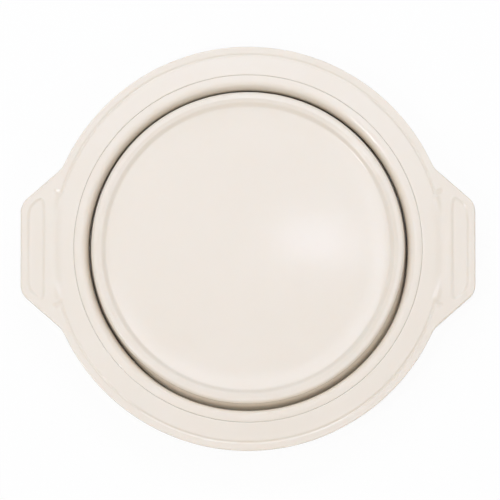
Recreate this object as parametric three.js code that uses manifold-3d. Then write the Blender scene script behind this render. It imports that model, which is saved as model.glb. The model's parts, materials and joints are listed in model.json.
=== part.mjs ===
// Collapsible silicone cake pan, folded flat: a stiff rim with two tab handles, and a bowl
// whose wall folds once, so that the base stands level with the rim.
// Millimetres, +Z up. The pan's axis is Z, the handles lie along X, and it rests on z = 0.
import * as THREE from 'three';
import { mergeVertices } from 'three/addons/utils/BufferGeometryUtils.js';
import Module from 'manifold-3d';

// Plan of the rim, from the opening of the bowl outwards
const openingRadius = 107.1;
const beadWidth = 6.9;
const bandWidth = 10.4;
const grooveWidth = 3.6;
const edgeWidth = 4.5;

// Section of the rim
const grooveDepth = 0.6;
const grooveEnd = THREE.MathUtils.degToRad(16.5);
const edgeDrop = 6.0;
const edgeSlope = 0.1;
const edgeRound = 0.9;
const skirt = 1.8;
const undersideThickness = 2.0;

// Tab handles
const handleDepth = 16.2;
const handleOuterWidth = 58.6;
const handleRootWidth = 106.0;
const handleCorner = 12.0;
const handleRootFillet = 16.0;
const handleEdgeRadius = 1.4;
const padInset = 4.6;
const padDepth = 0.6;
const padFromRim = 0.5;
const padEndCut = 0.8;

// Stiffening hoop inside the rim
const coreThickness = 1.2;
const coreInset = 8.0;
const coreFromSeam = 3.0;
const coreSlotLength = 30.0;
const coreSlotWidth = 5.0;
const coreSlotFromEnd = 5.0;

// Bowl
const panDepth = 50.0;
const wall = 2.0;
const upperLean = 2.25;
const lowerLean = 2.45;
const throatDepth = 11.0;
const valleyGap = 0.7;
const hingeThickness = 1.5;
const beadReach = 4.0;
const beadRound = 3.2;
const beadSeamRound = 0.6;

// Base
const lipRise = 3.5;
const floorRise = 1.0;
const floorThickness = 2.2;
const crestWidth = 3.9;
const crestRoll = 1.9;
const crestRound = 2.2;
const crestDrop = 3.5;
const lipFlat = 2.0;
const lipSlope = 2.6;

const clearance = 0.3;
const segments = 64;
const roundSteps = 4;

// Radii and levels that follow
const seamRadius = openingRadius + beadWidth;
const grooveInner = seamRadius + bandWidth;
const grooveOuter = grooveInner + grooveWidth;
const rimRadius = grooveOuter + edgeWidth;
const handleReach = rimRadius + handleDepth;

const legFoot = hingeThickness + clearance;
const foldHeight = (panDepth + floorRise) / 2;
const lipTop = hingeThickness + foldHeight + crestDrop - clearance;
const rimTop = lipTop - lipRise;
const floorTop = rimTop + floorRise;

const rimBottom = rimTop - edgeDrop;
const undersideTop = rimBottom + undersideThickness;
const shellBottom = undersideTop + clearance;
const coreTop = shellBottom + coreThickness;
const coreSeatTop = coreTop + clearance;
const throatLevel = rimTop - throatDepth;

const upperFootRadius = openingRadius - upperLean;
const lowerFootRadius = upperFootRadius - valleyGap;
const crestRadius = lowerFootRadius - lowerLean;
const crestFoot = lipTop - crestDrop;
const lipRadius = crestRadius - crestWidth;
const lipOuter = lipRadius - clearance;
const floorRadius = lipOuter - lipFlat - lipSlope;
const floorBottom = floorTop - floorThickness;

const wasm = await Module();
wasm.setup();

const silicone = new THREE.MeshStandardMaterial({ color: 0xeee7dd, roughness: 0.38, metalness: 0 });
const steel = new THREE.MeshStandardMaterial({ color: 0xb9bcbe, roughness: 0.35, metalness: 1 });

function weld(geometry) {
  geometry.deleteAttribute('normal');
  geometry.deleteAttribute('uv');
  return mergeVertices(geometry);
}

// A profile of [radius, height] pairs, counter-clockwise, turned about Z
function turn(profile) {
  const points = profile.map(([radius, height]) => new THREE.Vector2(radius, height));
  const onAxis = points[0].x === 0;
  if (!onAxis) points.push(points[0].clone());
  const geometry = new THREE.LatheGeometry(points, segments);
  geometry.rotateX(Math.PI / 2);
  return weld(geometry);
}

// Points on a quarter ellipse about [radius, height], from one angle to another
function roll(centre, reach, rise, from, to) {
  const points = [];
  for (let i = 0; i <= roundSteps; i += 1) {
    const angle = from + ((to - from) * i) / roundSteps;
    points.push([centre[0] + reach * Math.cos(angle), centre[1] + rise * Math.sin(angle)]);
  }
  return points;
}

function prism(shape, low, high) {
  const geometry = new THREE.ExtrudeGeometry(shape, {
    depth: high - low,
    curveSegments: roundSteps * 2,
    bevelEnabled: false,
  });
  geometry.translate(0, 0, low);
  return weld(geometry);
}

function toSolid(geometry) {
  return new wasm.Manifold(new wasm.Mesh({
    numProp: 3,
    vertProperties: new Float32Array(geometry.attributes.position.array),
    triVerts: new Uint32Array(geometry.index.array),
  }));
}

function toGeometry(solid) {
  const { vertProperties, triVerts } = solid.getMesh();
  const geometry = new THREE.BufferGeometry();
  geometry.setAttribute('position', new THREE.BufferAttribute(vertProperties, 3));
  geometry.setIndex(new THREE.BufferAttribute(triVerts, 1));
  return geometry;
}

// One handle's edge, moved in by inset: a line from the outer corner to the rim circle,
// a round corner outside and a fillet at the root
function handleEdge(inset) {
  const halfRoot = handleRootWidth / 2;
  const rootX = Math.sqrt(rimRadius ** 2 - halfRoot ** 2);
  const along = new THREE.Vector2(rootX - handleReach, halfRoot - handleOuterWidth / 2).normalize();
  const normal = new THREE.Vector2(along.y, -along.x);
  const reach = handleReach - inset;
  const offset = normal.x * rootX + normal.y * halfRoot - inset;
  const radius = rimRadius - inset;
  const corner = Math.max(handleCorner - inset, clearance);
  const fillet = handleRootFillet + inset;
  const cornerX = reach - corner;
  const cornerY = (offset - corner - normal.x * cornerX) / normal.y;
  const back = Math.sqrt((radius + fillet) ** 2 - (offset + fillet) ** 2);
  const filletCentre = normal.clone().multiplyScalar(offset + fillet).addScaledVector(along, -back);
  return { normal, offset, reach, radius, corner, fillet, cornerX, cornerY, filletCentre };
}

// The outline of one tab in plan, from the rim circle round the handle and back, closed
// inside the rim band
function tabShape(inset) {
  const edge = handleEdge(inset);
  const lineAngle = edge.normal.angle();
  const rootAngle = edge.filletCentre.angle();
  const shape = new THREE.Shape();
  const innerX = edge.radius * Math.cos(rootAngle);
  shape.moveTo(innerX, -edge.radius * Math.sin(rootAngle));
  shape.absarc(
    edge.filletCentre.x, -edge.filletCentre.y, edge.fillet,
    Math.PI - rootAngle, Math.PI - lineAngle, true,
  );
  shape.absarc(edge.cornerX, -edge.cornerY, edge.corner, -lineAngle, 0, false);
  shape.absarc(edge.cornerX, edge.cornerY, edge.corner, 0, lineAngle, false);
  shape.absarc(
    edge.filletCentre.x, edge.filletCentre.y, edge.fillet,
    Math.PI + lineAngle, Math.PI + rootAngle, true,
  );
  shape.closePath();
  return shape;
}

function padShape() {
  const edge = handleEdge(padInset);
  const lineAngle = edge.normal.angle();
  const innerX = rimRadius + padFromRim;
  const meetY = (edge.offset - edge.normal.x * innerX) / edge.normal.y;
  const endY = meetY - padEndCut;
  const endX = (edge.offset - edge.normal.y * endY) / edge.normal.x;
  const shape = new THREE.Shape();
  shape.moveTo(innerX, -endY);
  shape.lineTo(endX, -endY);
  shape.absarc(edge.cornerX, -edge.cornerY, edge.corner, -lineAngle, 0, false);
  shape.absarc(edge.cornerX, edge.cornerY, edge.corner, 0, lineAngle, false);
  shape.lineTo(endX, endY);
  shape.lineTo(innerX, endY);
  shape.closePath();
  return shape;
}

// The groove between the handles on one side, with round ends
function grooveShape() {
  const middle = (grooveInner + grooveOuter) / 2;
  const half = grooveWidth / 2;
  const from = grooveEnd;
  const to = Math.PI - grooveEnd;
  const shape = new THREE.Shape();
  shape.absarc(0, 0, grooveOuter, from, to, false);
  shape.absarc(middle * Math.cos(to), middle * Math.sin(to), half, to, to + Math.PI, false);
  shape.absarc(0, 0, grooveInner, to, from, true);
  shape.absarc(middle * Math.cos(from), middle * Math.sin(from), half, from - Math.PI, from, false);
  shape.closePath();
  return shape;
}

// The same solid and its copy turned half a turn about Z, joined
function bothSides(solid) {
  return solid.add(solid.rotate([0, 0, 180]));
}

function disc(radius, low, high) {
  return toSolid(turn([[0, low], [radius, low], [radius, high], [0, high]]));
}

// A ring in plan with the two tabs, between an inner radius and the rim's outline moved in
function framePlate(inset, innerRadius, low, high) {
  const tabs = bothSides(toSolid(prism(tabShape(inset), low, high)));
  const bore = disc(innerRadius, low - clearance, high + clearance);
  return disc(rimRadius - inset, low, high).add(tabs).subtract(bore);
}

function makeRimFrame() {
  const inner = seamRadius + clearance / 2;
  const edgeCentre = [rimRadius - edgeRound, rimTop - edgeSlope - edgeRound];
  const ring = toSolid(turn([
    [inner, rimBottom],
    [rimRadius, rimBottom],
    ...roll(edgeCentre, edgeRound, edgeRound, 0, Math.PI / 2),
    [grooveOuter, rimTop],
    [inner, rimTop],
  ]));
  const tab = toSolid(prism(tabShape(0), rimBottom, rimTop - handleEdgeRadius))
    .add(toSolid(prism(tabShape(handleEdgeRadius), rimBottom, rimTop)));
  const undersideSeat = framePlate(skirt, inner - clearance, rimBottom - clearance, shellBottom);
  const coreSeat = framePlate(
    coreInset - clearance, seamRadius + coreFromSeam - clearance, rimBottom, coreSeatTop,
  );
  const groove = toSolid(prism(grooveShape(), rimTop - grooveDepth, rimTop + clearance));
  const pad = toSolid(prism(padShape(), rimTop - padDepth, rimTop + clearance));
  return toGeometry(
    ring.add(bothSides(tab)).subtract(undersideSeat).subtract(coreSeat)
      .subtract(bothSides(groove)).subtract(bothSides(pad)),
  );
}

function makeRimUnderside() {
  const ledgeRadius = openingRadius + wall + clearance;
  return toGeometry(framePlate(skirt + clearance, ledgeRadius, rimBottom, undersideTop));
}

function makeFrameCore() {
  const plate = framePlate(coreInset, seamRadius + coreFromSeam, shellBottom, coreTop);
  const slotX = handleReach - coreInset - coreSlotFromEnd - coreSlotWidth / 2;
  const slot = new THREE.BoxGeometry(coreSlotWidth, coreSlotLength, coreThickness + clearance);
  slot.translate(slotX, 0, (shellBottom + coreTop) / 2);
  return toGeometry(plate.subtract(bothSides(toSolid(weld(slot)))));
}

function makeBowlBead() {
  const outer = seamRadius - clearance / 2;
  const seamCentre = [outer - beadSeamRound, rimTop - beadSeamRound];
  const openingCentre = [openingRadius + beadReach, rimTop - beadRound];
  return turn([
    [openingRadius, shellBottom],
    [outer, shellBottom],
    ...roll(seamCentre, beadSeamRound, beadSeamRound, 0, Math.PI / 2),
    ...roll(openingCentre, beadReach, beadRound, Math.PI / 2, Math.PI),
  ]);
}

function makeUpperWall() {
  const top = shellBottom - clearance;
  return turn([
    [upperFootRadius, legFoot],
    [upperFootRadius + wall, legFoot],
    [upperFootRadius + wall, throatLevel],
    [openingRadius + wall, top],
    [openingRadius, top],
    [upperFootRadius, throatLevel],
  ]);
}

function makeFoldHinge() {
  const inner = lowerFootRadius - wall;
  const outer = upperFootRadius + wall;
  const chamfer = hingeThickness / 2;
  return turn([
    [inner + chamfer, 0],
    [outer - chamfer, 0],
    [outer, chamfer],
    [outer, hingeThickness],
    [inner, hingeThickness],
    [inner, chamfer],
  ]);
}

function makeLowerWall() {
  const top = crestFoot - clearance;
  return turn([
    [lowerFootRadius - wall, legFoot],
    [lowerFootRadius, legFoot],
    [lowerFootRadius, throatLevel],
    [crestRadius, top],
    [crestRadius - wall, top],
    [lowerFootRadius - wall, throatLevel],
  ]);
}

function makeCrestHinge() {
  const outerCentre = [crestRadius - crestRoll, lipTop - crestRound];
  const innerCentre = [lipRadius, crestFoot];
  return turn([
    [crestRadius, crestFoot],
    ...roll(outerCentre, crestRoll, crestRound, 0, Math.PI / 2),
    [lipRadius, lipTop],
    ...roll(innerCentre, crestWidth - wall, crestDrop - wall, Math.PI / 2, 0),
  ]);
}

function makeBaseLip() {
  return turn([
    [floorRadius + clearance, floorBottom],
    [lipOuter, lipTop - wall],
    [lipOuter, lipTop],
    [lipOuter - lipFlat, lipTop],
    [floorRadius + clearance, floorTop],
  ]);
}

function makeBaseFloor() {
  return turn([[0, floorBottom], [floorRadius, floorBottom], [floorRadius, floorTop], [0, floorTop]]);
}

const pan = new THREE.Group();

function place(name, geometry, material) {
  const mesh = new THREE.Mesh(geometry, material);
  mesh.name = name;
  pan.add(mesh);
}

place('rim_frame', makeRimFrame(), silicone);
place('rim_underside', makeRimUnderside(), silicone);
place('frame_core', makeFrameCore(), steel);
place('bowl_bead', makeBowlBead(), silicone);
place('upper_wall', makeUpperWall(), silicone);
place('fold_hinge', makeFoldHinge(), silicone);
place('lower_wall', makeLowerWall(), silicone);
place('crest_hinge', makeCrestHinge(), silicone);
place('base_lip', makeBaseLip(), silicone);
place('base_floor', makeBaseFloor(), silicone);

export default pan;
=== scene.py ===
import json
import math

import bpy
import numpy as np
from mathutils import Matrix, Vector

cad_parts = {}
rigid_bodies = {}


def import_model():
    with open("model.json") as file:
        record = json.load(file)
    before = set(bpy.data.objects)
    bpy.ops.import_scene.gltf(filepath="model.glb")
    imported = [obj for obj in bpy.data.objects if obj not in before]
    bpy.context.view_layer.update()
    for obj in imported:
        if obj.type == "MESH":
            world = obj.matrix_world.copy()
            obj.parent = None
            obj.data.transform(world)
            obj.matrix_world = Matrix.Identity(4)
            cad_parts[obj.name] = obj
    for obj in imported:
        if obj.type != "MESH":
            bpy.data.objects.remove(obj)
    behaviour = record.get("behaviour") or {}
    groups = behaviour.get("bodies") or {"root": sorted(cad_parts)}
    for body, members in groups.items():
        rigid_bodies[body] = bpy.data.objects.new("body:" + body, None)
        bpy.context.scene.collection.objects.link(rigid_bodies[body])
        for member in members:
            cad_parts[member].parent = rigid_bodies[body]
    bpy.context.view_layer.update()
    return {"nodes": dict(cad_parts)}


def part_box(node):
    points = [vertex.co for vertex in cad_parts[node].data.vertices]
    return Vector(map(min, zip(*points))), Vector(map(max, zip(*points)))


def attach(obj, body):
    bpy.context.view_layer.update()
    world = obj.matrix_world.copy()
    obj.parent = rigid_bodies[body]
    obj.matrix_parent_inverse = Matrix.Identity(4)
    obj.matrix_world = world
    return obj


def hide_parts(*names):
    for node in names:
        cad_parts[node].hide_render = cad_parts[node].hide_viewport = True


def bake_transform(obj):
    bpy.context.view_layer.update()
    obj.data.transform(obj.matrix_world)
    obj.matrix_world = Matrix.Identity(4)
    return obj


for leftover in list(bpy.data.objects):
    bpy.data.objects.remove(leftover)

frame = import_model()

mm = 0.001               # sizes below are in millimetres, meshes and lamps in metres


# Sizes read from the frame

def nodeBox(node):
    # lowest and highest corner of a CAD node, metres turned to millimetres
    return np.array([list(corner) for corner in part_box(node)]) / mm


rimLow, rimHigh = nodeBox("rim_frame")
undersideLow, undersideHigh = nodeBox("rim_underside")
beadLow, beadHigh = nodeBox("bowl_bead")
upperHigh = nodeBox("upper_wall")[1]
foldHigh = nodeBox("fold_hinge")[1]
lowerLow, lowerHigh = nodeBox("lower_wall")
crestLow, crestHigh = nodeBox("crest_hinge")
lipHigh = nodeBox("base_lip")[1]
floorLow, floorHigh = nodeBox("base_floor")

wall = 2.0               # thickness of the folding wall
gap = 0.3                # between bowl and rim in the frame
seamClose = 0.112        # soft silicone closes that gap this far from either side
rimRadius = rimHigh[1]
handleReach = rimHigh[0]
rimTop = rimHigh[2]
rimBottom = rimLow[2]
beadRadius = beadHigh[0]
shellBottom = beadLow[2]
upperFoot = foldHigh[0] - wall
lowerFoot = lowerHigh[0]
webTop = foldHigh[2]
crestRadius = crestHigh[0]
crestFoot = crestLow[2]
lipTop = crestHigh[2]
lipRadius = lipHigh[0]
floorRadius = floorHigh[0]
floorTop = floorHigh[2]
floorBottom = floorLow[2]


# Small helpers

def smooth(low, high, value):
    # smoothstep: t runs 0 to 1 between low and high, and the result is 3t^2 - 2t^3
    t = np.clip((value - low) / (high - low), 0, 1)
    return t * t * (3 - 2 * t)


def arc(centre, reach, rise, start, stop, count):
    # part of an ellipse: centre + (reach cos a, rise sin a), a in degrees from start to stop
    angle = np.radians(np.linspace(start, stop, count))
    return np.column_stack((centre[0] + reach * np.cos(angle), centre[1] + rise * np.sin(angle)))


def run(start, stop, count):
    # straight stretch: start + t (stop - start), t from 0 to 1, both ends included
    return np.linspace(start, stop, count)


def turned(profile, columns):
    # lathe: the point (r, z) of the profile becomes (r cos a, r sin a, z) at each angle a round the axis
    angle = np.linspace(0, 2 * np.pi, columns, endpoint=False)[:, None]
    radius = profile[None, :, 0]
    height = np.broadcast_to(profile[None, :, 1], (columns, len(profile)))
    return np.stack((radius * np.cos(angle), radius * np.sin(angle), height), axis=2)


def skin(name, points, poles=()):
    # points[column, row]: columns close round the axis; rows close on themselves, or on two axis poles
    columns, rows = points.shape[:2]
    index = np.arange(columns * rows).reshape(columns, rows)
    across = np.roll(index, -1, axis=0)
    here, beside = (index[:, :-1], across[:, :-1]) if len(poles) else (index, across)
    up = index[:, 1:] if len(poles) else np.roll(index, -1, axis=1)
    upBeside = across[:, 1:] if len(poles) else np.roll(across, -1, axis=1)
    faces = np.stack((here, up, upBeside, beside), axis=2).reshape(-1, 4).tolist()
    vertices = points.reshape(-1, 3)
    if len(poles):
        first = np.full(columns, columns * rows)
        faces += np.stack((first, index[:, 0], across[:, 0]), axis=1).tolist()
        faces += np.stack((index[:, -1], first + 1, across[:, -1]), axis=1).tolist()
        vertices = np.vstack((vertices, np.array(poles)))
    mesh = bpy.data.meshes.new(name)
    mesh.from_pydata((vertices * mm).tolist(), [], faces)
    mesh.update()
    mesh.shade_smooth()
    piece = bpy.data.objects.new(name, mesh)
    bpy.context.collection.objects.link(piece)
    return piece


def dress(piece, material):
    # one material and one slot for the whole piece
    piece.data.materials.clear()
    piece.data.materials.append(material)
    return piece


# Materials

def linear(hexColour):
    # sRGB to linear: c / 12.92 below 0.04045, otherwise ((c + 0.055) / 1.055) ^ 2.4
    channel = np.array([int(hexColour[i:i + 2], 16) for i in (1, 3, 5)]) / 255
    curved = np.where(channel <= 0.04045, channel / 12.92, ((channel + 0.055) / 1.055) ** 2.4)
    return (*curved.tolist(), 1.0)


def addNode(tree, kind, settings=None, links=None):
    # one node: settings go to its properties or to its sockets, links name the sockets that feed it
    node = tree.nodes.new(kind)
    for key, value in (settings or {}).items():
        if isinstance(key, str) and hasattr(node, key):
            setattr(node, key, value)
        else:
            node.inputs[key].default_value = value
    for key, source in (links or {}).items():
        tree.links.new(source, node.inputs[key])
    return node


def emptyMaterial(name):
    # a node material that has no nodes yet, with its tree
    material = bpy.data.materials.new(name)
    material.use_nodes = True
    material.node_tree.nodes.clear()
    return material, material.node_tree


siliconeLook = {
    "pale": "#eee5d7",
    "deep": "#ebe1d1",
    "cloudSize": 38.0,       # mm across one cloud of pigment
    "grainSize": 1.1,        # mm across the grain that the blasted mould leaves
    "grainDepth": 0.004,     # mm
    "swellSize": 46.0,       # mm across one slow swell of the cooled moulding
    "swellDepth": 0.05,      # mm
    "cloudSpan": (0.3, 0.7),  # from the thinnest cloud to the thickest, the gloss goes
    "glossRough": 0.11,      # from this roughness
    "satinRough": 0.16,      # to this one
    "index": 1.41,           # of refraction, as silicone rubber has
    "milk": 0.5,             # share of the light that goes in and comes out elsewhere
    "milkReach": 0.9,        # mm that its red travels
    "milkTint": (1.0, 0.85, 0.75),
}


def mouldedSilicone():
    # platinum-cured silicone rubber, pressed in a steel mould: milky and slightly see-through at
    # thin edges, a soft satin gloss with faint clouds where the tool was polished unevenly
    look = siliconeLook
    thinCloud, thickCloud = look["cloudSpan"]
    material, tree = emptyMaterial("compression moulded silicone")
    place = addNode(tree, "ShaderNodeTexCoord").outputs["Object"]
    cloud = addNode(
        tree, "ShaderNodeTexNoise",
        {"Scale": 1 / (look["cloudSize"] * mm), "Detail": 3.0, "Roughness": 0.5},
        {"Vector": place},
    ).outputs["Fac"]
    colour = addNode(
        tree, "ShaderNodeMix",
        {"data_type": "RGBA", 6: linear(look["pale"]), 7: linear(look["deep"])},
        {0: cloud},
    ).outputs[2]
    rough = addNode(
        tree, "ShaderNodeMapRange",
        {
            "From Min": thinCloud,
            "From Max": thickCloud,
            "To Min": look["glossRough"],
            "To Max": look["satinRough"],
        },
        {"Value": cloud},
    ).outputs["Result"]
    grain = addNode(
        tree, "ShaderNodeTexNoise",
        {"Scale": 1 / (look["grainSize"] * mm), "Detail": 2.0, "Roughness": 0.6},
        {"Vector": place},
    ).outputs["Fac"]
    swell = addNode(
        tree, "ShaderNodeTexNoise",
        {"Scale": 1 / (look["swellSize"] * mm), "Detail": 0.0},
        {"Vector": place},
    ).outputs["Fac"]
    slow = addNode(
        tree, "ShaderNodeBump", {"Strength": 1.0, "Distance": look["swellDepth"] * mm}, {"Height": swell},
    ).outputs["Normal"]
    relief = addNode(
        tree, "ShaderNodeBump",
        {"Strength": 1.0, "Distance": look["grainDepth"] * mm},
        {"Height": grain, "Normal": slow},
    ).outputs["Normal"]
    shader = addNode(
        tree, "ShaderNodeBsdfPrincipled",
        {
            "IOR": look["index"],
            "Subsurface Weight": look["milk"],
            "Subsurface Radius": look["milkTint"],
            "Subsurface Scale": look["milkReach"] * mm,
        },
        {"Base Color": colour, "Roughness": rough, "Normal": relief},
    )
    addNode(tree, "ShaderNodeOutputMaterial", None, {"Surface": shader.outputs["BSDF"]})
    return material


steelLook = {
    "bright": "#c3c6c8",
    "dull": "#a9adb0",
    "lineSize": 0.5,         # mm across a rolling line
    "lineDraw": 0.02,        # the lines' width for each unit of their length
    "rough": 0.3,
    "roughSpread": 0.08,
}


def coldRolledSteel():
    # stainless strip, cold rolled and blanked: grey, with fine lines along the rolling direction
    look = steelLook
    material, tree = emptyMaterial("cold rolled stainless steel")
    place = addNode(tree, "ShaderNodeTexCoord").outputs["Object"]
    along = addNode(
        tree, "ShaderNodeMapping", {"Scale": (look["lineDraw"], 1.0, 1.0)}, {"Vector": place},
    ).outputs["Vector"]
    lines = addNode(
        tree, "ShaderNodeTexNoise",
        {"Scale": 1 / (look["lineSize"] * mm), "Detail": 3.0},
        {"Vector": along},
    ).outputs["Fac"]
    colour = addNode(
        tree, "ShaderNodeMix",
        {"data_type": "RGBA", 6: linear(look["bright"]), 7: linear(look["dull"])},
        {0: lines},
    ).outputs[2]
    rough = addNode(
        tree, "ShaderNodeMapRange",
        {"To Min": look["rough"] - look["roughSpread"], "To Max": look["rough"] + look["roughSpread"]},
        {"Value": lines},
    ).outputs["Result"]
    shader = addNode(
        tree, "ShaderNodeBsdfPrincipled",
        {"Metallic": 1.0},
        {"Base Color": colour, "Roughness": rough},
    )
    addNode(tree, "ShaderNodeOutputMaterial", None, {"Surface": shader.outputs["BSDF"]})
    return material


silicone = mouldedSilicone()
steel = coldRolledSteel()
print("materials ready")


# Rim and handles

rimPlan = {
    "handleEnd": 58.6,       # straight outer edge of a handle, corners not counted
    "handleRoot": 106.0,     # where its sloping sides would meet the rim circle
    "corner": 12.0,
    "rootFillet": 16.0,
    "points": (30, 16, 48, 12, 90),  # along the end, corner, side, fillet and rim circle
}


def handleLine():
    # the handle's sloping side as normal . p = offset, and its direction from the handle's end to the rim
    halfRoot = rimPlan["handleRoot"] / 2
    root = np.array((math.sqrt(rimRadius ** 2 - halfRoot ** 2), halfRoot))
    along = root - np.array((handleReach, rimPlan["handleEnd"] / 2))
    along = along / np.linalg.norm(along)
    normal = np.array((along[1], -along[0]))
    return normal, normal @ root, along


def rimOutline():
    # a quarter of the plan from +X to +Y: straight end, corner arc, sloping side, fillet arc, rim circle;
    # then mirrored in X and turned half a turn, with the outward normal at every point
    normal, offset, along = handleLine()
    corner, fillet = rimPlan["corner"], rimPlan["rootFillet"]
    ends, corners, sides, fillets, rounds = rimPlan["points"]
    cornerX = handleReach - corner
    cornerCentre = np.array((cornerX, (offset - corner - normal[0] * cornerX) / normal[1]))
    back = math.sqrt((rimRadius + fillet) ** 2 - (offset + fillet) ** 2)
    filletCentre = normal * (offset + fillet) - along * back
    lineAngle = math.degrees(math.atan2(normal[1], normal[0]))
    rootAngle = math.degrees(math.atan2(filletCentre[1], filletCentre[0]))
    endPoints = run((handleReach, 0), (handleReach, cornerCentre[1]), ends + 1)[:-1]
    cornerPoints = arc(cornerCentre, corner, corner, 0, lineAngle, corners + 1)[:-1]
    filletPoints = arc(filletCentre, -fillet, -fillet, lineAngle, rootAngle, fillets + 1)[:-1]
    sidePoints = run(cornerCentre + corner * normal, filletCentre - fillet * normal, sides + 1)[:-1]
    roundPoints = arc((0, 0), rimRadius, rimRadius, rootAngle, 90, rounds)
    facing = np.radians(np.concatenate((
        np.zeros(ends),
        np.linspace(0, lineAngle, corners + 1)[:-1],
        np.full(sides, lineAngle),
        np.linspace(lineAngle, rootAngle, fillets + 1)[:-1],
        np.linspace(rootAngle, 90, rounds),
    )))
    quarter = np.vstack((endPoints, cornerPoints, sidePoints, filletPoints, roundPoints))
    normals = np.column_stack((np.cos(facing), np.sin(facing)))
    both = np.hstack((quarter, normals))
    half = np.vstack((both, both[::-1][1:] * (-1, 1, -1, 1)))[:-1]
    loop = np.vstack((half, -half))
    return loop[:, :2], loop[:, 2:]


rimTopForm = {
    "grooveRadius": 127.3,   # deepest line of the groove
    "grooveIn": 1.4,         # width of its inner side
    "grooveOut": 1.05,       # and of its straight outer side
    "grooveFlat": 0.1,       # half of its level bottom
    "grooveDepth": 0.34,
    "grooveEnd": 16.5,       # degrees from the handle's middle
    "hookLength": 4.0,       # the groove's end turns out towards the handle
    "hookAim": (0.95, 0.3),
    "hookStart": 1.5,        # mm over which the hook deepens
    "hookHalf": 1.4,
    "hookDepth": 0.32,
    "humpHeight": 0.3,       # low swelling that carries the groove's line on into the handle
    "humpHalf": 2.0,
    "humpStart": (1.2, 3.4),  # mm past the groove's end where it rises
    "humpFade": 4.0,         # and where it starts to sink again
    "humpLength": 16.0,
    "dipDepth": 0.22,        # broad dip along the same line across the handle
    "dipHalf": 3.4,
    "dipStart": (0.4, 1.2),  # shares of the swelling's length over which it deepens
    "flangeFrom": 128.4,     # outside this the rim turns up a little to its edge
    "flangeRise": 0.13,
    "blendFrom": 19.0,       # degrees from the handle's middle over which the slope comes in
    "blendTo": 28.0,
    "padInset": 4.2,         # the grip pad's border to the handle's edge
    "padFromRim": 0.3,       # and to the rim circle
    "padHalf": 36.0,
    "padDepth": 0.5,
    "padStep": 1.5,
    "padCorner": 1.7,
    "padLimit": 60.0,        # keeps its exponentials finite
}


def rimLevel(x, y):
    # height of the rim's top: flat level, less a groove round an arc with a smooth step inside and a
    # straight ramp outside, a bell-shaped hook at its end, a broad dip across the handle and the grip
    # pad's smooth step, plus a low hump and the flange's even slope; the pad's depth inside its borders
    # is -c log(sum of exp(border / c)), which rounds its corners
    form = rimTopForm
    ax, ay = np.abs(x), np.abs(y)
    radius = np.hypot(x, y)
    turn = np.arctan2(ay, ax)
    end = np.radians(form["grooveEnd"])
    past = np.clip(end - turn, 0, None) * form["grooveRadius"]
    side = radius - form["grooveRadius"]
    flat = form["grooveFlat"]
    outerSide = np.clip((side - flat) / (form["grooveOut"] - flat), 0, 1)
    groove = smooth(-form["grooveIn"], -flat, side) * (1 - outerSide)
    groove = groove * (1 - smooth(0, form["grooveIn"], past))

    hookX = ax - form["grooveRadius"] * np.cos(end)
    hookY = ay - form["grooveRadius"] * np.sin(end)
    aimX, aimY = form["hookAim"]
    along = np.clip(hookX * aimX + hookY * aimY, 0, form["hookLength"])
    away = np.hypot(hookX - along * aimX, hookY - along * aimY)
    hook = np.exp(-(away / form["hookHalf"]) ** 2) * smooth(0, form["hookStart"], along)

    length = form["humpLength"]
    humpLow, humpFull = form["humpStart"]
    dipLow, dipFull = form["dipStart"]
    fade = smooth(humpLow, humpFull, past) * (1 - smooth(form["humpFade"], length, past))
    hump = np.exp(-(side / form["humpHalf"]) ** 2) * fade
    dip = np.exp(-(side / form["dipHalf"]) ** 2) * smooth(length * dipLow, length * dipFull, past)
    share = smooth(form["blendFrom"], form["blendTo"], np.degrees(turn))
    slope = np.clip((radius - form["flangeFrom"]) / (rimRadius - form["flangeFrom"]), 0, 1)

    normal, offset = handleLine()[:2]
    inset, bend, limit = form["padInset"], form["padCorner"], form["padLimit"]
    borders = np.stack((
        ax - (handleReach - inset),
        normal[0] * ax + normal[1] * ay - (offset - inset),
        rimRadius + form["padFromRim"] - ax,
        ay - form["padHalf"],
    )) / bend
    inside = -bend * np.log(np.exp(np.clip(borders, -limit, limit)).sum(axis=0))
    pad = smooth(0, form["padStep"], inside)
    level = rimTop - form["grooveDepth"] * groove - form["hookDepth"] * hook
    level = level + form["humpHeight"] * hump - form["dipDepth"] * dip
    return level + form["flangeRise"] * slope * share - form["padDepth"] * pad


rimEdge = {
    "seamRound": 0.3,
    "seamFoot": 0.5,         # lowest row of the seam wall above its foot
    "roundWidth": 0.5,       # the rim's edge rolls over this far in from its outline
    "handleWidth": 1.0,      # and the handle's edge this far
    "skirt": 1.8,
    "skirtRound": 0.3,
    "footRound": 0.5,
    "plateRound": 0.6,       # of the closing skin below
    "denseFrom": 5.0,        # mm inside the groove's line where the rows get dense
    "bandRows": 9,
    "denseRows": 32,
    "outerRows": 46,
    "outerCrowd": 1.35,      # more than 1 crowds them towards the groove
    "rollRows": 14,
}


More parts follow.
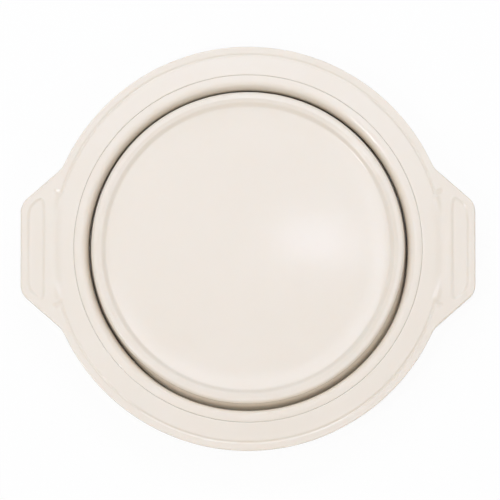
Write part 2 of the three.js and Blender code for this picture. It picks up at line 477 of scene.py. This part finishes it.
def rimFrameSkin():
    # section carried round the outline: up the seam wall, over the band, out along straight lines from
    # the groove circle to the rolled edge, a quarter ellipse down, and back under the skirt
    outline, normals = rimOutline()
    edge = rimEdge
    angle = np.arctan2(outline[:, 1], outline[:, 0])[:, None]
    fromHandle = np.degrees(np.arctan2(np.abs(outline[:, 1]), np.abs(outline[:, 0])))
    blendFrom, blendTo = rimTopForm["blendFrom"], rimTopForm["blendTo"]
    roundShare = smooth(blendFrom, blendTo, fromHandle)[:, None]
    width = edge["handleWidth"] + (edge["roundWidth"] - edge["handleWidth"]) * roundShare
    inner = beadRadius + gap - seamClose
    seam, foot, skirt, skirtRound = (
        edge[key] for key in ("seamRound", "footRound", "skirt", "skirtRound")
    )

    seamSection = np.vstack((
        [(inner, shellBottom)],
        run((inner, shellBottom + edge["seamFoot"]), (inner, rimTop - seam), 3)[:-1],
        arc((inner + seam, rimTop - seam), seam, seam, 180, 90, 6),
    ))
    grooveRadius = rimTopForm["grooveRadius"]
    dense = grooveRadius - edge["denseFrom"]
    band = np.concatenate((
        np.linspace(inner + seam, dense, edge["bandRows"])[1:-1],
        np.linspace(dense, grooveRadius, edge["denseRows"])[:-1],
    ))
    seamX = seamSection[:, 0] * np.cos(angle)
    seamY = seamSection[:, 0] * np.sin(angle)
    seamZ = np.broadcast_to(seamSection[:, 1], seamX.shape)
    bandX, bandY = band * np.cos(angle), band * np.sin(angle)

    share = (np.linspace(0, 1, edge["outerRows"]) ** edge["outerCrowd"])[None, :]
    startX, startY = grooveRadius * np.cos(angle), grooveRadius * np.sin(angle)
    shoulderX = outline[:, :1] - normals[:, :1] * width
    shoulderY = outline[:, 1:] - normals[:, 1:] * width
    plainX = startX + (shoulderX - startX) * share
    plainY = startY + (shoulderY - startY) * share
    plainZ = rimLevel(plainX, plainY)

    roll = np.linspace(0, np.pi / 2, edge["rollRows"])[1:]
    rollOut = width * np.sin(roll)
    rollX = shoulderX + normals[:, :1] * rollOut
    rollY = shoulderY + normals[:, 1:] * rollOut
    rollZ = plainZ[:, -1:] - width * (1 - np.cos(roll))

    under = np.vstack((
        arc((-foot, rimBottom + foot), foot, foot, 0, -90, 5),
        arc((-skirt + skirtRound, rimBottom + skirtRound), skirtRound, skirtRound, -90, -180, 4),
        [(-skirt, shellBottom)],
    ))
    underX = outline[:, :1] + normals[:, :1] * under[:, 0]
    underY = outline[:, 1:] + normals[:, 1:] * under[:, 0]
    underZ = np.broadcast_to(under[:, 1], underX.shape)

    points = np.stack((
        np.hstack((seamX, bandX, plainX, rollX, underX)),
        np.hstack((seamY, bandY, plainY, rollY, underY)),
        np.hstack((seamZ, rimLevel(bandX, bandY), plainZ, rollZ, underZ)),
    ), axis=2)
    return skin("rimFrame", points)


def rimUndersideSkin():
    # a flat plate: its inner edge is the circle round the bowl, its outer edge the outline moved in,
    # both with a small round at the bottom
    outline, normals = rimOutline()
    angle = np.arctan2(outline[:, 1], outline[:, 0])[:, None]
    inner = upperHigh[0] + gap
    inset = rimEdge["skirt"] + gap
    soft = rimEdge["plateRound"]
    low, high = undersideLow[2], undersideHigh[2]
    inside = np.vstack((
        arc((inner + soft, low + soft), soft, soft, 270, 180, 5),
        [(inner, high)],
    ))
    outside = np.vstack((
        [(-inset, high)],
        arc((-inset - soft, low + soft), soft, soft, 0, -90, 5),
    ))
    insideX, insideY = inside[:, 0] * np.cos(angle), inside[:, 0] * np.sin(angle)
    outsideX = outline[:, :1] + normals[:, :1] * outside[:, 0]
    outsideY = outline[:, 1:] + normals[:, 1:] * outside[:, 0]
    heights = np.concatenate((inside[:, 1], outside[:, 1]))
    x = np.hstack((insideX, outsideX))
    y = np.hstack((insideY, outsideY))
    return skin("rimUnderside", np.stack((x, y, np.broadcast_to(heights, x.shape)), axis=2))


rimFrame = dress(rimFrameSkin(), silicone)
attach(rimFrame, "rim")
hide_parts("rim_frame")
rimUnderside = dress(rimUndersideSkin(), silicone)
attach(rimUnderside, "rim")
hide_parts("rim_underside")
frame["nodes"]["frame_core"].data.materials.clear()
frame["nodes"]["frame_core"].data.materials.append(steel)
print("rim built:", len(rimFrame.data.polygons), "faces")


# The fold hangs open on one side, as soft silicone does

slackForm = {
    "towards": -74.0,        # degrees from +X
    "half": 42.0,            # degrees to either side over which it is fully open
    "fade": 32.0,
    "crestIn": 0.45,         # mm that the crest is drawn in there
    "throatOut": 2.2,        # mm that the folded walls bulge out there
}


def slack(points):
    # 1 near the open side's direction, fading to 0 by a smooth step of the angle from it
    angle = np.degrees(np.arctan2(points[..., 1], points[..., 0]))
    away = np.abs((angle - slackForm["towards"] + 180) % 360 - 180)
    return 1 - smooth(slackForm["half"], slackForm["half"] + slackForm["fade"], away)


def spread(points, amount):
    # each point moves out from the axis by amount: (x, y) becomes (x, y) (1 + amount / r)
    radius = np.hypot(points[..., 0], points[..., 1])
    factor = 1 + amount / radius
    return np.stack((points[..., 0] * factor, points[..., 1] * factor, points[..., 2]), axis=2)


# Bowl: bead, upper wall and the thin web that the wall folds on

bowlForm = {
    "columns": 360,
    "crownAt": 111.2,        # highest circle of the bead
    "innerReach": 7.0,       # the bead rolls this far in to the throat
    "innerDrop": 13.0,       # and this far down
    "fullness": 3.0,         # 2 would be an ellipse, more is flatter on top
    "rollBelow": 3.6,        # at this depth under the rim the roll takes
    "rollShare": 0.5,        # this share of the fold's bulge
    "bulgeFade": 1.5,        # mm outside the wall over which the bulge ends
    "seamDrop": 0.08,        # the bead's fall to the seam
    "seamRound": 0.3,
    "webRound": 0.7,
    "webChamfer": 0.2,
    "webFoot": 0.3,          # lowest row of the wall's outside above the web
    "valleyRound": 0.32,
    "wallFrom": 1.0,         # the wall's even rows start this far above the web and below the throat
}
throatLevel = rimTop - bowlForm["innerDrop"]     # where the folded walls close up


def upperWallSkin():
    # one closed section turned about the axis: web, valley corner, straight wall to the throat, then the
    # bead's inner half as a superellipse |x|^n + |z|^n = 1, its outer half as a parabola, and back down
    # outside; on the slack side it bulges out by a share that is linear between the levels
    form = bowlForm
    seam, soft, corner = form["seamRound"], form["webRound"], form["valleyRound"]
    chamfer, start = form["webChamfer"], form["wallFrom"]
    crown, reach, drop, full = form["crownAt"], form["innerReach"], form["innerDrop"], form["fullness"]
    webInner = lowerFoot - wall
    webOuter = upperFoot + wall
    outer = beadRadius + seamClose
    turn = np.radians(np.linspace(0, 90, 32))
    rolled = np.column_stack((
        crown - reach * np.cos(turn) ** (2 / full),
        rimTop - drop + drop * np.sin(turn) ** (2 / full),
    ))
    fallR = np.linspace(crown, outer - seam, 12)[1:]
    fallZ = rimTop - form["seamDrop"] * ((fallR - crown) / (outer - seam - crown)) ** 2
    profile = np.vstack((
        arc((webInner + soft, soft), soft, soft, 270, 180, 6),
        run((webInner, webTop - chamfer), (webInner + chamfer, webTop), 2),
        run((lowerFoot, webTop), (upperFoot - corner, webTop), 2),
        arc((upperFoot - corner, webTop + corner), corner, corner, -90, 0, 5)[1:],
        run((upperFoot, webTop + start), rolled[0], 14)[:-1],
        rolled,
        np.column_stack((fallR, fallZ))[:-1],
        arc((outer - seam, fallZ[-1] - seam), seam, seam, 90, 0, 7),
        run((outer, shellBottom), (upperHigh[0], shellBottom), 2),
        run((upperHigh[0], upperHigh[2]), (webOuter, throatLevel), 8),
        run((webOuter, throatLevel - start), (webOuter, webTop + form["webFoot"]), 10),
        arc((webOuter - soft, soft), soft, soft, 0, -90, 6),
    ))
    points = turned(profile, form["columns"])
    wallShare = 1 - smooth(upperHigh[0], upperHigh[0] + form["bulgeFade"], profile[:, 0])
    levels = (webTop, throatLevel, rimTop - form["rollBelow"], rimTop)
    bulge = wallShare * np.interp(profile[:, 1], levels, (0, 1, form["rollShare"], 0))
    return skin("upperWall", spread(points, slack(points) * slackForm["throatOut"] * bulge))


upperWall = dress(upperWallSkin(), silicone)
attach(upperWall, "rim")
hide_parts("bowl_bead", "upper_wall", "fold_hinge")
print("bowl built:", len(upperWall.data.polygons), "faces")


# Lower wall, in two rings that overlap at its middle, between the fold's web and the base's crest

lowerForm = {
    "columns": 360,
    "rows": 40,
    "throatGap": 0.6,        # between the folded walls where they are closest
    "bendSoft": 1.5,         # mm over which the lower wall turns from one cone into the other there
    "crestBulge": 0.8,       # the soft crest bulges out this far
    "tuck": 0.14,            # a ring's hidden end is drawn in this much
    "tuckHidden": 0.1,       # from this far inside its neighbour
    "tuckSeen": 0.3,         # to this far outside
    "overlap": 0.9,          # of the two rings
    "into": 0.8,             # that they reach into the web and the crest
}
lowerMiddle = (lowerLow[2] + lowerHigh[2]) / 2
crestOuter = crestRadius + lowerForm["crestBulge"]


def lowerWallSkin(name, low, high, tuckedEnds):
    # a ring between two levels: one cone from its foot to the throat and another from there to the
    # crest, joined by the soft ramp (h + sqrt(h^2 + s^2)) / 2; its inner side is a wall's thickness in,
    # and a tucked end is drawn in from both sides by a smooth step
    form = lowerForm
    height = np.linspace(low, high, form["rows"])
    throatRadius = bowlForm["crownAt"] - bowlForm["innerReach"] - form["throatGap"]
    above = height - throatLevel
    ramp = (above + np.hypot(above, form["bendSoft"])) / 2
    belowSlope = (throatRadius - lowerFoot) / (throatLevel - webTop)
    aboveSlope = (crestOuter - throatRadius) / (crestFoot - throatLevel)
    outer = throatRadius + belowSlope * (above - ramp) + aboveSlope * ramp
    lowEnd, highEnd = tuckedEnds
    hidden, seen = form["tuckHidden"], form["tuckSeen"]
    tuck = np.zeros_like(height)
    if lowEnd is not None:
        tuck = tuck + form["tuck"] * (1 - smooth(lowEnd - hidden, lowEnd + seen, height))
    if highEnd is not None:
        tuck = tuck + form["tuck"] * smooth(highEnd - seen, highEnd + hidden, height)
    outside = np.column_stack((outer - tuck, height))[::-1]
    inside = np.column_stack((outer - wall + tuck, height))
    points = turned(np.vstack((inside, outside)), form["columns"])
    drawn = (0, slackForm["throatOut"], -slackForm["crestIn"])
    amount = np.interp(points[..., 2], (webTop, throatLevel, crestFoot), drawn)
    return skin(name, spread(points, slack(points) * amount))


into, overlap = lowerForm["into"], lowerForm["overlap"]
footEnd = lowerLow[2] - lowerForm["tuckSeen"]
lowerWall = dress(
    lowerWallSkin("lowerWall", lowerLow[2] - into, lowerMiddle, (footEnd, None)),
    silicone,
)
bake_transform(lowerWall)
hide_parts("lower_wall")
risingWall = dress(
    lowerWallSkin("risingWall", lowerMiddle - overlap, lowerHigh[2] + into, (lowerMiddle, lowerHigh[2])),
    silicone,
)
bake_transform(risingWall)
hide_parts("lower_wall")
print("lower wall built")


# Base: floor, raised lip and the crest that it rolls over to the wall

baseForm = {
    "columns": 360,
    "floorSink": 0.5,        # soft floor hangs this far below its moulded level
    "floorDip": 0.4,         # and its middle this much lower than its edge
    "riseFrom": 78.0,        # the floor curves up gently from here
    "swell": 1.2,            # by this much
    "stepFrom": 92.7,        # then a short steep step
    "riseTo": 96.2,          # brings it to the lip
    "lipSlope": 0.14,        # the lip rises outwards to its level edge
    "edgeFrom": 97.8,        # a low step up to that edge
    "edgeStep": 0.5,         # this wide
    "edgeHeight": 0.09,
    "shoulder": 100.2,       # where the lip starts to roll over
    "shoulderDrop": 2.5,
    "drawnFrom": 90.0,       # outside this the lip follows the slack side of the fold
    "skirt": 0.3,            # the crest reaches down over the wall's tucked end
    "poleRadius": 2.0,       # innermost ring of the floor and of its underside
    "chamferOut": 2.0,       # below, the floor's edge is chamfered out by this
    "chamferRise": 0.4,      # and up by this
    "underIn": 4.0,          # next ring inside the chamfer
}


def baseSkin():
    # half section turned about the axis: parabolic floor, a parabola and a smoothstep up to the lip, its
    # even slope and a smooth step to its edge, quarter ellipse over the shoulder, straight to the
    # crest's foot, back up inside it, and along the underside
    form = baseForm
    riseFrom, riseTo, shoulder = form["riseFrom"], form["riseTo"], form["shoulder"]
    pole = form["poleRadius"]
    floorR = np.linspace(pole, riseFrom, 30)
    floorEdge = floorTop - form["floorSink"]
    floorZ = floorEdge - form["floorDip"] * (1 - (floorR / riseFrom) ** 2)
    lipR = np.linspace(riseTo, shoulder, 40)
    edge = form["edgeFrom"]
    lipZ = lipTop - form["lipSlope"] * np.clip(edge - lipR, 0, None)
    lipZ = lipZ - form["edgeHeight"] * (1 - smooth(edge, edge + form["edgeStep"], lipR))
    riseR = np.linspace(riseFrom, riseTo, 46)[1:-1]
    swell = form["swell"] * ((riseR - riseFrom) / (riseTo - riseFrom)) ** 2
    step = lipZ[0] - floorEdge - form["swell"]
    riseZ = floorEdge + swell + step * smooth(form["stepFrom"], riseTo, riseR)
    reach, drop = crestOuter - shoulder, form["shoulderDrop"]
    lipEdge = lipZ[-1]
    low = crestFoot - form["skirt"]
    innerCrest = crestRadius - wall
    innerReach = innerCrest - lipRadius - gap
    chamferTop = (floorRadius + form["chamferOut"], floorBottom + form["chamferRise"])
    profile = np.vstack((
        np.column_stack((floorR, floorZ)),
        np.column_stack((riseR, riseZ)),
        np.column_stack((lipR, lipZ))[:-1],
        arc((shoulder, lipEdge - drop), reach, drop, 90, 0, 18),
        [(crestOuter, crestFoot), (crestOuter, low)],
        [(innerCrest, low)],
        arc((innerCrest - innerReach, crestFoot), innerReach, lipTop - wall - crestFoot, 0, 90, 10),
        run(chamferTop, (floorRadius, floorBottom), 4),
        run((floorRadius - form["underIn"], floorBottom), (pole, floorBottom), 8),
    ))
    poles = ((0, 0, floorEdge - form["floorDip"]), (0, 0, floorBottom))
    points = turned(profile, form["columns"])
    drawn = slackForm["crestIn"] * smooth(form["drawnFrom"], crestOuter, profile[:, 0])
    return skin("baseDish", spread(points, -slack(points) * drawn), poles)


baseDish = dress(baseSkin(), silicone)
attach(baseDish, "base")
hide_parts("base_floor", "base_lip", "crest_hinge")
print("base built:", len(baseDish.data.polygons), "faces")


# Stage, lamps and camera

stageForm = {
    "half": 2200.0,          # of the paper's width
    "below": 0.3,            # under the pan
    "paper": "#f4f4f2",
    "ambient": "#fff8f2",
    "ambientStrength": 0.335,
    "whiteShare": 0.95,      # of the floor's look, the rest takes the shadow
}


def seenDirectly(tree):
    # 1 for rays from the camera, from a gloss or through glass, 0 for light that a surface gathers
    path = addNode(tree, "ShaderNodeLightPath").outputs
    first = addNode(
        tree, "ShaderNodeMath", {"operation": "MAXIMUM"},
        {0: path["Is Camera Ray"], 1: path["Is Glossy Ray"]},
    ).outputs[0]
    return addNode(
        tree, "ShaderNodeMath", {"operation": "MAXIMUM"}, {0: first, 1: path["Is Transmission Ray"]},
    ).outputs[0]


def whitePaper():
    # matt white paper sweep: shines white to the eye, keeps a soft shadow, and is clear from below
    material, tree = emptyMaterial("matt white paper")
    paper = addNode(tree, "ShaderNodeBsdfDiffuse", {"Color": linear(stageForm["paper"])}).outputs[0]
    white = addNode(tree, "ShaderNodeEmission", {"Color": (1, 1, 1, 1), "Strength": 1.0}).outputs[0]
    share = addNode(
        tree, "ShaderNodeMath", {"operation": "MULTIPLY", 1: stageForm["whiteShare"]},
        {0: seenDirectly(tree)},
    ).outputs[0]
    lit = addNode(tree, "ShaderNodeMixShader", None, {0: share, 1: paper, 2: white}).outputs[0]
    clear = addNode(tree, "ShaderNodeBsdfTransparent").outputs[0]
    below = addNode(tree, "ShaderNodeNewGeometry").outputs["Backfacing"]
    side = addNode(tree, "ShaderNodeMixShader", None, {0: below, 1: lit, 2: clear}).outputs[0]
    addNode(tree, "ShaderNodeOutputMaterial", None, {"Surface": side})
    return material


def paperFloor():
    # a flat square: x and y from -half to half on a grid of two by two points
    half = stageForm["half"] * mm
    level = -stageForm["below"] * mm
    mesh = bpy.data.meshes.new("paperFloor")
    corners = [(-half, -half, level), (half, -half, level), (half, half, level), (-half, half, level)]
    mesh.from_pydata(corners, [], [(0, 1, 2, 3)])
    floor = bpy.data.objects.new("paperFloor", mesh)
    bpy.context.collection.objects.link(floor)
    mesh.materials.append(whitePaper())
    return floor


def studioWorld():
    # white to the camera and to reflections, a softer even fill for the light that surfaces gather
    world = bpy.data.worlds.new("studio")
    world.use_nodes = True
    tree = world.node_tree
    tree.nodes.clear()
    strength = addNode(
        tree, "ShaderNodeMapRange",
        {"To Min": stageForm["ambientStrength"], "To Max": 1.0},
        {"Value": seenDirectly(tree)},
    ).outputs["Result"]
    colour = addNode(
        tree, "ShaderNodeMix",
        {"data_type": "RGBA", 6: linear(stageForm["ambient"]), 7: (1, 1, 1, 1)},
        {0: seenDirectly(tree)},
    ).outputs[2]
    back = addNode(tree, "ShaderNodeBackground", None, {"Color": colour, "Strength": strength}).outputs[0]
    addNode(tree, "ShaderNodeOutputWorld", None, {"Surface": back})
    bpy.context.scene.world = world


lamps = {
    "overheadSoftbox": {"at": (-20, 200, 2300), "size": (760, 700), "watts": 4.0, "colour": "#e6edff"},
    "rearSoftbox": {"at": (0, 560, 2300), "size": (700, 520), "watts": 2.5, "colour": "#dbe6ff"},
    "backSoftbox": {"at": (-20, 760, 900), "size": (1000, 300), "watts": 4.8, "colour": "#e8f0ff"},
    "frontSoftbox": {"at": (40, -900, 700), "size": (900, 300), "watts": 2.0, "colour": "#fff2e6"},
    "leftSoftbox": {"at": (-420, 40, 500), "size": (480, 180), "watts": 0.37, "colour": "#eaf2ff"},
    "rightSoftbox": {"at": (420, 40, 500), "size": (480, 180), "watts": 0.40, "colour": "#eaf2ff"},
    "glintSoftbox": {"at": (-380, -200, 1240), "size": (150, 260), "watts": 2.8, "colour": "#edf4ff"},
    "floorGlint": {"at": (40, 43, 476), "size": (60, 20), "watts": 0.025, "colour": "#d4dfff"},
}


def addLamps():
    # each lamp is a rectangle that faces the middle of the pan, apart from the small one, which faces
    # straight down
    for name, lamp in lamps.items():
        light = bpy.data.lights.new(name, "AREA")
        light.shape = "RECTANGLE"
        light.size, light.size_y = (side * mm for side in lamp["size"])
        light.energy = lamp["watts"]
        light.color = linear(lamp["colour"])[:3]
        holder = bpy.data.objects.new(name, light)
        holder.location = Vector(lamp["at"]) * mm
        if name != "floorGlint":
            holder.rotation_euler = (-Vector(lamp["at"])).to_track_quat("-Z", "Y").to_euler()
        holder.visible_camera = False
        bpy.context.collection.objects.link(holder)


cameraForm = {
    "lean": (0.015, -0.085),   # how far it stands to the right and to the front, for each unit of height
    "distance": 6000.0,
    "frameWidth": 326.9,       # the picture's width, level with the rim
    "aim": (1.35, -1.13),
    "sensor": 36.0,
    "clip": (0.05, 50.0),      # metres
}


def addCamera():
    # stands on a ray that leans a little from straight up, turned so that the handles lie level, with
    # the lens that fits frameWidth at that distance
    form = cameraForm
    aim = Vector((*form["aim"], rimTop))
    back = Vector((*form["lean"], 1.0)).normalized()
    across = Vector((0, 1, 0)).cross(back).normalized()
    lens = bpy.data.cameras.new("overhead")
    lens.sensor_width = form["sensor"]
    lens.lens = lens.sensor_width * form["distance"] / form["frameWidth"]
    lens.clip_start, lens.clip_end = form["clip"]
    camera = bpy.data.objects.new("overhead", lens)
    turn = Matrix((across, back.cross(across), back)).transposed()
    camera.matrix_world = Matrix.Translation((aim + back * form["distance"]) * mm) @ turn.to_4x4()
    bpy.context.collection.objects.link(camera)
    bpy.context.scene.camera = camera


paperFloor()
studioWorld()
addLamps()
addCamera()
bpy.context.scene.view_settings.view_transform = "Standard"
print("stage set:", len(lamps), "lamps")
